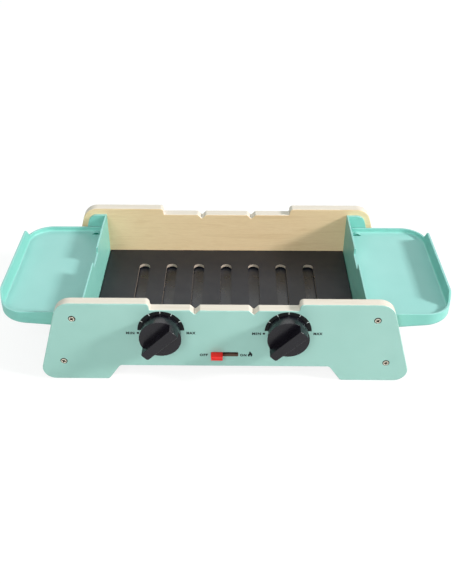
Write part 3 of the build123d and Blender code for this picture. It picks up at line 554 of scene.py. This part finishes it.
def cut_board(name):
    """Black paint on the broad faces and bare wood on the cut ones."""
    finish, tree, shader, millimetres = start_finish(name, roughness=0.5)
    shader.inputs["Specular IOR Level"].default_value = 0.4
    speckle = noise(tree, millimetres, 0.9, detail=5.0, roughness=0.7)
    paint = ramp(tree, speckle, (0.3, BLACK_PAINT[0]), (0.75, BLACK_PAINT[1]))
    long_side = between(tree, off_plane(tree, facing(tree)["X"]), 0.90, 0.99, 0.0, 0.65)
    cut = mixed(tree, long_side, wood_colours(tree, wood_streaks(tree, millimetres), CUT_WOOD), LONG_SIDE_DARK)
    tree.links.new(mixed(tree, stands_upright(tree), paint, cut), shader.inputs["Base Color"])
    tree.links.new(between(tree, noise(tree, millimetres, 0.05), 0.3, 0.7, 0.46, 0.56),
                   shader.inputs["Roughness"])
    raised(tree, shader, speckle, 0.03, strength=0.6)
    return finish


dress(cut_board("black_board_with_bare_cuts"), "grill_plate")
plate_under, plate_top = (corner.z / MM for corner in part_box("grill_plate"))
print("grill plate is", round(plate_top - plate_under, 1), "mm thick")

# %% [markdown]
# ## Dark plastics, red plastic and metals
# The ember tray under the slots is a smooth dark moulding, so it carries a clear sheen near the front. The knobs are
# nearly black, and what makes them look grey is only the sheen of a smooth skin. A grey plastic without sheen would
# be simpler, but then the shaded side of the grip bar could not turn black. The switch is bright red. Screws in the
# panels are brass coloured, and what nobody sees is zinc plated.

# %% Dark and pale mouldings
ember_plastic = moulded_plastic("ember_tray_plastic", ((0.004, 0.005, 0.008), (0.017, 0.019, 0.029)), 0.30,
                                texture_mm=0.03, texture_scale=0.35, shine=0.4)
knob_plastic = moulded_plastic("knob_plastic", ((0.003, 0.002, 0.005), (0.005, 0.004, 0.008)), 0.27,
                               texture_mm=0.008, shine=0.37)
box_plastic = moulded_plastic("sound_box_plastic", ((0.022, 0.022, 0.024), (0.03, 0.03, 0.033)), 0.5)
pale_plastic = moulded_plastic("bush_pale_plastic", ((0.68, 0.66, 0.60), (0.74, 0.72, 0.66)), 0.45)
black_plastic = moulded_plastic("lever_black_plastic", ((0.015, 0.015, 0.015), (0.02, 0.02, 0.02)), 0.4)
dress(ember_plastic, "ember_tray")
dress(knob_plastic, "left_knob", "right_knob")
dress(box_plastic, "sound_box", "battery_door")
dress(pale_plastic, "left_knob_bush", "right_knob_bush")
dress(black_plastic, "switch_lever")
print("five dark and pale mouldings done")


# %% Red switch
CAP_RED = ((0.72, 0.014, 0.012), (0.80, 0.020, 0.015))
SHUTTER_PAINTED_SHADE = (0.035, 0.004, 0.004)


def switch_red():
    """Bright red cap; the sheet behind the slot is painted a much darker red as shade."""
    finish, tree, shader, millimetres = start_finish("switch_red_plastic", roughness=0.28)
    shader.inputs["Specular IOR Level"].default_value = 0.25
    behind = between(tree, split(tree, millimetres)["Y"], front_face + 1.5, front_face + 3.5)
    cap = ramp(tree, noise(tree, millimetres, 0.4), (0.3, CAP_RED[0]), (0.7, CAP_RED[1]))
    # Painted shade: the red sheet behind the slot is darkened, because little light reaches it.
    tree.links.new(mixed(tree, behind, cap, SHUTTER_PAINTED_SHADE), shader.inputs["Base Color"])
    raised(tree, shader, noise(tree, millimetres, 2.0), 0.004, strength=0.6)
    return finish


dress(switch_red(), "switch_slider")
print("red switch done")


# %% Turned and plated metals
def plated_metal(name, tones, roughness):
    """Metal with faint turning marks and a few dull patches."""
    finish, tree, shader, millimetres = start_finish(name, roughness, metallic=1.0)
    patches = noise(tree, millimetres, 0.8, detail=4.0)
    tree.links.new(ramp(tree, patches, (0.3, tones[0]), (0.7, tones[1])), shader.inputs["Base Color"])
    tree.links.new(between(tree, patches, 0.3, 0.7, roughness - 0.08, roughness + 0.1),
                   shader.inputs["Roughness"])
    raised(tree, shader, noise(tree, millimetres, 7.0, detail=2.0), 0.006, strength=0.5)
    return finish


screw_brass = plated_metal("screw_brass", ((0.66, 0.60, 0.49), (0.80, 0.74, 0.62)), 0.34)
# Painted shade: near-black metal on the deep faces of the recesses and the sunk rims.
brass_painted_shade = plated_metal("recess_painted_shade_brass", ((0.022, 0.013, 0.010), (0.045, 0.028, 0.020)), 0.65)
zinc = plated_metal("zinc_plate", ((0.46, 0.46, 0.45), (0.6, 0.6, 0.58)), 0.34)
zinc_painted_shade = plated_metal("recess_painted_shade_zinc", ((0.06, 0.06, 0.06), (0.10, 0.10, 0.10)), 0.5)
dress(zinc, "left_knob_washer", "right_knob_washer", "slide_switch", "battery_springs", "battery_contacts")
print("brass and zinc done")

# %% [markdown]
# ## Screws
# The solids hold plain screws with a shallow cross. Seen close, a cross recess has tapered wings that get deeper to
# the middle, the head has a soft rim, and the shank has a thread. All of it is one turned surface: rings of points
# round an axis, whose radius and depth follow a rule. For the recess the rule depends on the distance to the two
# wings, for the thread on the angle, which is what makes a helix.

# %% Turned surface
HEAD_COLUMNS = 72
THREAD_COLUMNS = 28
RECESS_ROWS = 22


def turned_grid(mesh, rows, columns, rule, centre, out):
    """Rings of points round an axis; rule(row, angle) gives a radius and a depth below the head's top."""
    side = out.orthogonal().normalized()
    other = out.cross(side)
    rings = []
    for row in range(rows):
        ring = []
        for column in range(columns):
            angle = 2 * math.pi * column / columns
            radius, depth = rule(row, angle)
            round_axis = side * math.cos(angle) + other * math.sin(angle)
            ring.append(mesh.verts.new(centre + round_axis * radius * MM - out * depth * MM))
        rings.append(ring)
    faces = [mesh.faces.new(rings[0]), mesh.faces.new(rings[-1])]
    for inner, outer in zip(rings, rings[1:]):
        for column in range(columns):
            after = (column + 1) % columns
            faces.append(mesh.faces.new((inner[column], outer[column], outer[after], inner[after])))
    return faces


def recess_depth(radius, angle, reach, deep):
    """Depth of the cross recess at one point of the head."""
    u, v = abs(radius * math.cos(angle)), abs(radius * math.sin(angle))
    along, across = max(u, v), min(u, v)
    if along >= reach:
        return 0.0
    half_wing = 0.36 * reach * (1.0 - 0.35 * along / reach)
    wall = min(1.0, max(0.0, (half_wing - across) / (0.06 * reach) + 0.5))
    return deep * wall * (1.0 - 0.6 * (along / reach) ** 2)


print("a head has", HEAD_COLUMNS, "columns")

# %% Screw heads and threads
# Each head: how far the cross reaches, how deep it is, and the outline from the flat top to the shank.
COUNTERSUNK = (1.9, 1.7, ((2.0, 0.02), (2.3, 0.0), (2.5, 0.05), (2.65, 0.4), (3.45, 0.5), (3.58, 0.3), (1.7, 1.85)))
PAN = (1.15, 0.8, ((1.3, 0.0), (1.75, 0.16), (2.05, 0.45), (2.2, 0.84), (2.2, 1.4), (1.05, 1.4)))
LOW_PAN = (1.3, 0.5, ((1.7, 0.0), (2.05, 0.12), (2.2, 0.35), (2.2, 0.9), (1.05, 0.9)))
WIDE_PAN = (1.7, 1.0, ((1.86, 0.0), (2.5, 0.25), (2.95, 0.7), (3.1, 1.2), (3.1, 2.0), (1.4, 2.0)))
ROOT_SHARE = 0.72
ROWS_PER_TURN = 7


def add_screw(mesh, head, centre, out, turn, length, crest, pitch):
    """One screw with a cross recess and a thread; lengths are in millimetres."""
    reach, deep, outline = head
    flat = outline[0][0]
    profile = [(flat * (row + 0.2) / RECESS_ROWS, None) for row in range(RECESS_ROWS)] + list(outline)

    def head_rule(row, angle):
        radius, depth = profile[row]
        if depth is None:
            return radius, outline[0][1] + recess_depth(radius, angle + turn, reach, deep)
        return radius, depth

    for face in turned_grid(mesh, len(profile), HEAD_COLUMNS, head_rule, centre, out):
        middle = face.calc_center_median() - centre
        below = -middle.dot(out) / MM
        spread = (middle + out * below * MM).length / MM
        # Painted shade: faces deep in the cross, and the whole sunk rim of a countersunk head, take the near-black
        # second metal.
        if below > 0.15 and (spread < reach or outline is COUNTERSUNK[2]):
            face.material_index = 1
    start = outline[-1][1] - 0.2
    root = crest * ROOT_SHARE
    steps = int((length - start) / pitch * ROWS_PER_TURN)

    def thread_rule(row, angle):
        depth = start + (length - start) * row / steps
        phase = (depth / pitch - angle / (2 * math.pi)) % 1.0
        radius = root + (crest - root) * (1.0 - abs(2.0 * phase - 1.0))
        return radius * min(1.0, 0.15 + (length - depth) / (1.6 * crest)), depth

    turned_grid(mesh, steps + 1, THREAD_COLUMNS, thread_rule, centre, out)


def screws_for(node, body, head, out, places, crest, pitch, metals):
    """Detailed screws in place of a CAD node's plain ones; places are (x, y, z, length) in millimetres."""
    mesh = bmesh.new()
    for number, (x, y, z, length) in enumerate(places):
        add_screw(mesh, head, Vector((x, y, z)) * MM, out, 0.5 + 1.1 * number, length, crest, pitch)
    bmesh.ops.recalc_face_normals(mesh, faces=mesh.faces)
    data = bpy.data.meshes.new(node + "_detailed")
    mesh.to_mesh(data)
    mesh.free()
    data.polygons.foreach_set("use_smooth", [True] * len(data.polygons))
    data.set_sharp_from_angle(angle=math.radians(35))
    for metal in metals:
        data.materials.append(metal)
    holder = bpy.data.objects.new(node + "_detailed", data)
    bpy.context.scene.collection.objects.link(holder)
    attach(holder, body)
    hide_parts(node)
    return len(data.polygons)


print("screw helpers ready")

# %% Set the screws
HIGH_X, LOW_X = 139.0, 152.0
HIGH_LENGTH = 12.8
PANEL_HEAD, PAN_HEAD, WIDE_HEAD = 3.7, 2.2, 3.1
UP, DOWN = Vector((0, 0, 1)), Vector((0, 0, -1))
FORE, BACK = Vector((0, -1, 0)), Vector((0, 1, 0))


def corner_places(node, radius, head_end, out):
    """Screw places at the corners of a node's box; the screw's length is the box's own."""
    low, high = (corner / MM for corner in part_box(node))
    xs = {round(low.x + radius, 4), round(high.x - radius, 4)}
    if abs(out.z) > 0.5:
        ys = {round(low.y + radius, 4), round(high.y - radius, 4)}
        return [(x, y, head_end, high.z - low.z) for x in sorted(xs) for y in sorted(ys)]
    middle = (low.z + high.z) / 2
    return [(x, head_end, middle, high.y - low.y) for x in sorted(xs)]


made = 0
for node, out in (("front_panel_screws", FORE), ("rear_panel_screws", BACK)):
    low, high = (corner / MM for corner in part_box(node))
    face_y = low.y if out is FORE else high.y
    places = [(side * HIGH_X, face_y, high.z - PANEL_HEAD, HIGH_LENGTH) for side in (-1, 1)]
    places += [(side * LOW_X, face_y, low.z + PANEL_HEAD, high.y - low.y) for side in (-1, 1)]
    made += screws_for(node, FRAME_BODY, COUNTERSUNK, out, places, 1.75, 1.3,
                       (screw_brass, brass_painted_shade))
for node, out, head, end in (("ember_tray_screws", UP, PAN, 1), ("sound_box_screws", DOWN, PAN, 0),
                             ("circuit_board_screws", UP, PAN, 1), ("battery_door_screw", DOWN, PAN, 0)):
    places = corner_places(node, PAN_HEAD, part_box(node)[end].z / MM, out)
    made += screws_for(node, FRAME_BODY, head, out, places, 1.1, 0.8, (zinc, zinc_painted_shade))
for node, body, head, radius, crest in (
        ("switch_board_screws", FRAME_BODY, LOW_PAN, PAN_HEAD, 1.1),
        ("left_knob_screw", "left_knob_body", WIDE_PAN, WIDE_HEAD, 1.45),
        ("right_knob_screw", "right_knob_body", WIDE_PAN, WIDE_HEAD, 1.45)):
    places = corner_places(node, radius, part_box(node)[1].y / MM, BACK)
    made += screws_for(node, body, head, BACK, places, crest, 0.8, (zinc, zinc_painted_shade))
print(made, "faces in the screws")

# %% [markdown]
# ## Electrics under the ember tray
# Three cells feed a small board with a sound chip, lamps that glow through the slots, and a speaker. They are closed
# in, but the finish of each still says what it is: a two-colour sleeve on the cells, green lacquer over copper
# tracks on the boards, and a plain dark moulding on the speaker.

# %% Cells
BARE_CAN = (0.55, 0.55, 0.55)
DARK_SLEEVE = (0.02, 0.02, 0.025)
COPPER_SLEEVE = (0.55, 0.27, 0.10)


def cell_sleeve():
    """Dark sleeve with a copper-coloured shoulder near the raised end."""
    finish, tree, shader, millimetres = start_finish("cell_sleeve", roughness=0.3, metallic=0.6)
    low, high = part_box("batteries")
    along = between(tree, split(tree, millimetres)["Y"], low.y / MM, high.y / MM)
    sleeve = ramp(tree, along, (0.0, BARE_CAN), (0.02, DARK_SLEEVE), (0.70, DARK_SLEEVE),
                  (0.72, COPPER_SLEEVE), (0.96, COPPER_SLEEVE), (0.985, BARE_CAN))
    tree.links.new(sleeve, shader.inputs["Base Color"])
    raised(tree, shader, noise(tree, millimetres, 1.5), 0.004)
    return finish


dress(cell_sleeve(), "batteries")
cell_flat, cell_tip = (corner.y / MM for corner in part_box("batteries"))
print("cells", round(cell_tip - cell_flat, 1), "mm long")


# %% Boards
def lacquered_board(name):
    """Green lacquer with paler tracks under it."""
    finish, tree, shader, millimetres = start_finish(name, roughness=0.28)
    tracks = tree.nodes.new("ShaderNodeTexBrick")
    tracks.inputs["Scale"].default_value = 0.22
    tracks.inputs["Mortar Size"].default_value = 0.035
    tracks.inputs["Color1"].default_value = (0.012, 0.13, 0.05, 1)
    tracks.inputs["Color2"].default_value = (0.015, 0.15, 0.055, 1)
    tracks.inputs["Mortar"].default_value = (0.04, 0.26, 0.10, 1)
    tree.links.new(millimetres, tracks.inputs["Vector"])
    tree.links.new(tracks.outputs["Color"], shader.inputs["Base Color"])
    raised(tree, shader, tracks.outputs[1], 0.03, strength=0.4)
    return finish


dress(lacquered_board("green_board_lacquer"), "circuit_board", "switch_board")
print("two boards lacquered")


# %% Lamps and speaker
def lamp_plastic():
    """Clear red plastic with a faint glow."""
    finish, tree, shader, millimetres = start_finish("lamp_red_plastic", roughness=0.15)
    tint = ramp(tree, noise(tree, millimetres, 0.8), (0.3, (0.5, 0.015, 0.01)), (0.7, (0.62, 0.03, 0.02)))
    tree.links.new(tint, shader.inputs["Base Color"])
    shader.inputs["Emission Color"].default_value = (1.0, 0.06, 0.02, 1.0)
    shader.inputs["Emission Strength"].default_value = 0.4
    return finish


dress(lamp_plastic(), "ember_lights")
dress(moulded_plastic("speaker_black", ((0.02, 0.02, 0.02), (0.035, 0.035, 0.035)), 0.55), "speaker")
print("electrics dressed")

# %% [markdown]
# ## Print on the front panel
# Round each knob a half ring with short pale marks is printed, with a small dot and MIN on one side and MAX on the
# other. The switch has OFF, ON and a small flame. Print could be painted by nodes, but letters are easier as real
# outlines: each is a skin of ink a few hundredths of a millimetre thick that lies on the paint.

# %% Ink
INK_THICK = 0.04
front_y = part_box("front_panel")[0].y
RING_SHIFT = Vector((0.0004, 0.0, -0.0007))
knob_centres = [(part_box("left_knob_bush")[0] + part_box("left_knob_bush")[1]) / 2 + RING_SHIFT * Vector((-1, 1, 1)),
                (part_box("right_knob_bush")[0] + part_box("right_knob_bush")[1]) / 2 + RING_SHIFT]


def ink(name, tone):
    """Flat print, a little uneven in tone."""
    finish, tree, shader, millimetres = start_finish(name, roughness=0.7)
    shader.inputs["Specular IOR Level"].default_value = 0.2
    lighter = tuple(min(1.0, channel * 1.25 + 0.004) for channel in tone)
    tree.links.new(ramp(tree, noise(tree, millimetres, 1.5), (0.3, tone), (0.7, lighter)),
                   shader.inputs["Base Color"])
    return finish


dark_ink = ink("dark_ink", (0.006, 0.007, 0.008))
pale_ink = ink("pale_ink", (0.72, 0.78, 0.76))


def finish_print(name, mesh_data, finish):
    """Gives print its ink and sets it on the front panel."""
    mesh_data.materials.clear()
    mesh_data.materials.append(finish)
    printed = bpy.data.objects.new(name, mesh_data)
    bpy.context.scene.collection.objects.link(printed)
    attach(printed, FRAME_BODY)
    return printed


def printed_outline(name, rings, finish, lift=0.0):
    """Print from closed outlines given as (x, z) points in metres on the panel's face."""
    sheet_mesh = bmesh.new()
    back = front_y - lift * MM
    front = back - INK_THICK * MM
    for ring in rings:
        base = [sheet_mesh.verts.new((x, back, z)) for x, z in ring]
        top = [sheet_mesh.verts.new((x, front, z)) for x, z in ring]
        sheet_mesh.faces.new(base)
        sheet_mesh.faces.new(list(reversed(top)))
        for k in range(len(ring)):
            after = (k + 1) % len(ring)
            sheet_mesh.faces.new((base[k], top[k], top[after], base[after]))
    bmesh.ops.recalc_face_normals(sheet_mesh, faces=sheet_mesh.faces)
    data = bpy.data.meshes.new(name)
    sheet_mesh.to_mesh(data)
    sheet_mesh.free()
    return finish_print(name, data, finish)


print("ink is", INK_THICK, "mm thick")

# %% Half rings with marks
RING_OUTER = 21.5
RING_INNER = 16.2
RING_STEPS = 48
MARK_ANGLES = (30, 60, 90, 120, 150)
MARK_LENGTH = 2.4
MARK_WIDTH = 0.55


def around(centre, radius_mm, angle):
    """Point on a circle on the panel's face."""
    return centre.x + radius_mm * MM * math.cos(angle), centre.z + radius_mm * MM * math.sin(angle)


def half_ring(centre):
    """Outline of the half ring above the knob's axis."""
    angles = [math.pi * k / RING_STEPS for k in range(RING_STEPS + 1)]
    outer = [around(centre, RING_OUTER, angle) for angle in angles]
    inner = [around(centre, RING_INNER, angle) for angle in reversed(angles)]
    return outer + inner


def mark(centre, degrees):
    """Short bar that starts at the ring's outer edge and points at the axis."""
    angle = math.radians(degrees)
    across = Vector((-math.sin(angle), math.cos(angle))) * MARK_WIDTH * MM / 2
    out = Vector(around(centre, RING_OUTER, angle))
    into = Vector(around(centre, RING_OUTER - MARK_LENGTH, angle))
    return [tuple(p) for p in (out - across, out + across, into + across, into - across)]


for side, centre in zip(("left", "right"), knob_centres):
    printed_outline(f"{side}_scale_ring", [half_ring(centre)], dark_ink)
    printed_outline(f"{side}_scale_marks", [mark(centre, a) for a in MARK_ANGLES], pale_ink, lift=INK_THICK)
print("scale rings round x =", [round(c.x / MM, 1) for c in knob_centres])

# %% Letters
LETTER_TALL = 2.95
DOT_RADIUS = 1.15
DOT_CORNERS = 20


def printed_word(name, word, left_mm, right_mm, middle_mm):
    """Word as a thin mesh, fitted between two x values and centred on a height."""
    text = bpy.data.curves.new(name + "_text", "FONT")
    text.body = word
    text.align_x = "LEFT"
    text.resolution_u = 4
    text.offset = 0.05
    text.space_character = 1.18
    text.extrude = 0.01
    shape = bpy.data.objects.new(name + "_text", text)
    bpy.context.scene.collection.objects.link(shape)
    bpy.context.view_layer.update()
    flat = bpy.data.meshes.new_from_object(shape.evaluated_get(bpy.context.evaluated_depsgraph_get()))
    bpy.data.objects.remove(shape)
    xs = [v.co.x for v in flat.vertices]
    ys = [v.co.y for v in flat.vertices]
    zs = [v.co.z for v in flat.vertices]
    wide = (right_mm - left_mm) * MM / (max(xs) - min(xs))
    tall = LETTER_TALL * MM / (max(ys) - min(ys))
    thick = INK_THICK * MM / (max(zs) - min(zs))
    for v in flat.vertices:
        x = left_mm * MM + (v.co.x - min(xs)) * wide
        z = middle_mm * MM + (v.co.y - (min(ys) + max(ys)) / 2) * tall
        y = front_y - (v.co.z - min(zs)) * thick
        v.co = (x, y, z)
    flat.name = name
    return finish_print(name, flat, dark_ink)


def printed_dot(name, x_mm, z_mm):
    """Small round dot beside MIN."""
    ring = [(x_mm * MM + DOT_RADIUS * MM * math.cos(2 * math.pi * k / DOT_CORNERS),
             z_mm * MM + DOT_RADIUS * MM * math.sin(2 * math.pi * k / DOT_CORNERS)) for k in range(DOT_CORNERS)]
    printed_outline(name, [ring], dark_ink)


WORDS = (("left_min", "MIN", -90.6, -82.8, 56.1), ("left_max", "MAX", -34.9, -26.6, 56.4),
         ("right_min", "MIN", 25.3, 33.6, 56.1), ("right_max", "MAX", 81.7, 90.0, 56.4),
         ("switch_off", "OFF", -23.3, -15.7, 30.4), ("switch_on", "ON", 14.5, 20.6, 30.4))
for name, word, left_mm, right_mm, middle_mm in WORDS:
    printed_word(name, word, left_mm, right_mm, middle_mm)
printed_dot("left_min_dot", -79.6, 56.2)
printed_dot("right_min_dot", 36.2, 56.2)
print(len(WORDS), "words printed")

# %% Flame
FLAME_PLACE = (23.9, 31.7)
FLAME_TALL = 6.8
FLAME_STEPS = 14


def bezier(start, pull, push, end):
    """Points of one curved stretch, without its last point."""
    points = []
    for k in range(FLAME_STEPS):
        t = k / FLAME_STEPS
        s = 1 - t
        points.append(tuple(s ** 3 * a + 3 * s * s * t * b + 3 * s * t * t * c + t ** 3 * d
                            for a, b, c, d in zip(start, pull, push, end)))
    return points


def flame_outline():
    """Pointed flame with a shoulder on its left and a drop left open in its foot, about one unit tall."""
    outline = bezier((-0.08, -0.46), (-0.34, -0.42), (-0.34, -0.10), (-0.22, 0.06))
    outline += bezier((-0.22, 0.06), (-0.19, 0.02), (-0.16, 0.0), (-0.13, 0.02))
    outline += bezier((-0.13, 0.02), (-0.16, 0.24), (-0.12, 0.40), (0.0, 0.52))
    outline += bezier((0.0, 0.52), (0.06, 0.26), (0.34, 0.12), (0.33, -0.14))
    outline += bezier((0.33, -0.14), (0.32, -0.34), (0.22, -0.44), (0.08, -0.46))
    outline += bezier((0.08, -0.46), (0.12, -0.34), (0.07, -0.22), (0.01, -0.14))
    outline += bezier((0.01, -0.14), (-0.06, -0.24), (-0.10, -0.34), (-0.08, -0.46))
    return [((FLAME_PLACE[0] + x * FLAME_TALL) * MM, (FLAME_PLACE[1] + z * FLAME_TALL) * MM)
            for x, z in outline]


printed_outline("switch_flame", [flame_outline()], dark_ink)
print("flame is", FLAME_TALL, "mm tall")

# %% [markdown]
# ## The end

# %% Finish
print("grill dressed")
